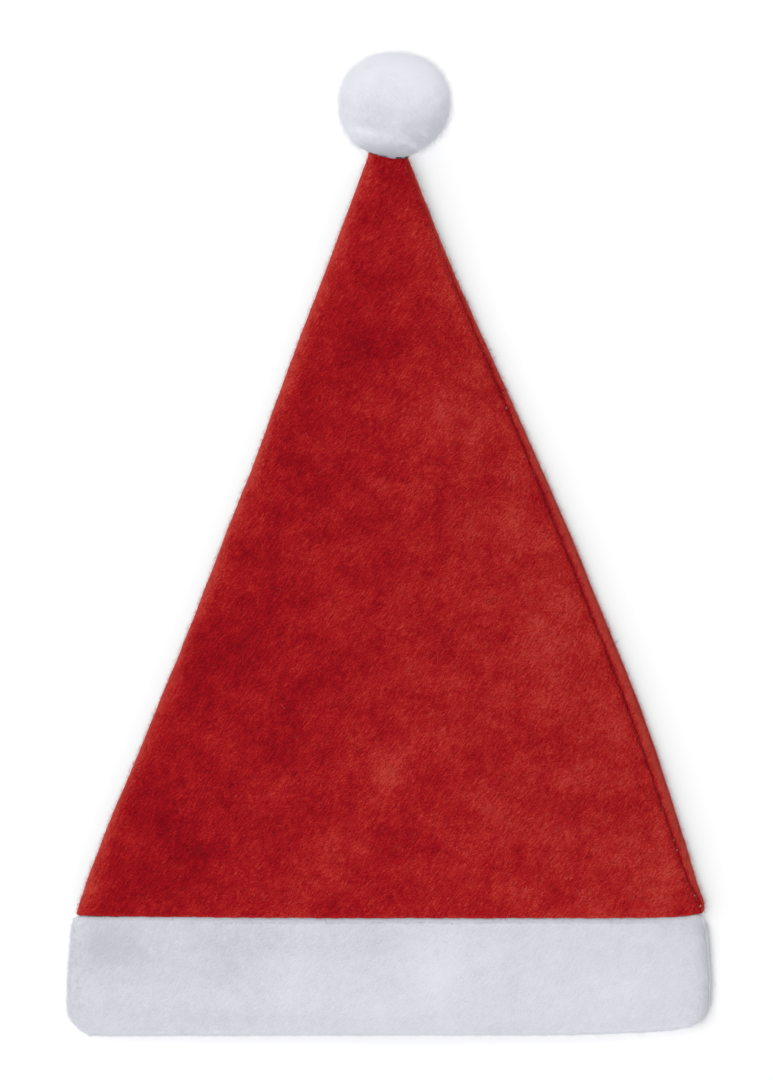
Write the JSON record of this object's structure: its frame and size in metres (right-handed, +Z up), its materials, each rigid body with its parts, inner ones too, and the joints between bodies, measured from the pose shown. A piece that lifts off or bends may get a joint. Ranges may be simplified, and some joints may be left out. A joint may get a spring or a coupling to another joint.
{
  "type": "santa hat",
  "caption": "Conical felt santa hat lying flat, with a contrasting straight band round the head opening, a turned side seam and a fluffy ball on the narrow peak.",
  "frame": {"origin": "under the middle of the whole hat, on the surface that it lies on", "axes": "+Z up off the surface, +Y from the head opening towards the pompom, +X towards the side with the seam"},
  "size_m": [0.2902, 0.4436, 0.0465],
  "materials": {
    "red_felt": "matte needled felt with a short fuzzy nap",
    "white_felt": "matte soft needled felt",
    "white_plush": "matte brushed plush fibre"
  },
  "bodies": {
    "root": {"crown": "red_felt", "band": "white_felt", "pompom": "white_plush"}
  },
  "joints": []
}
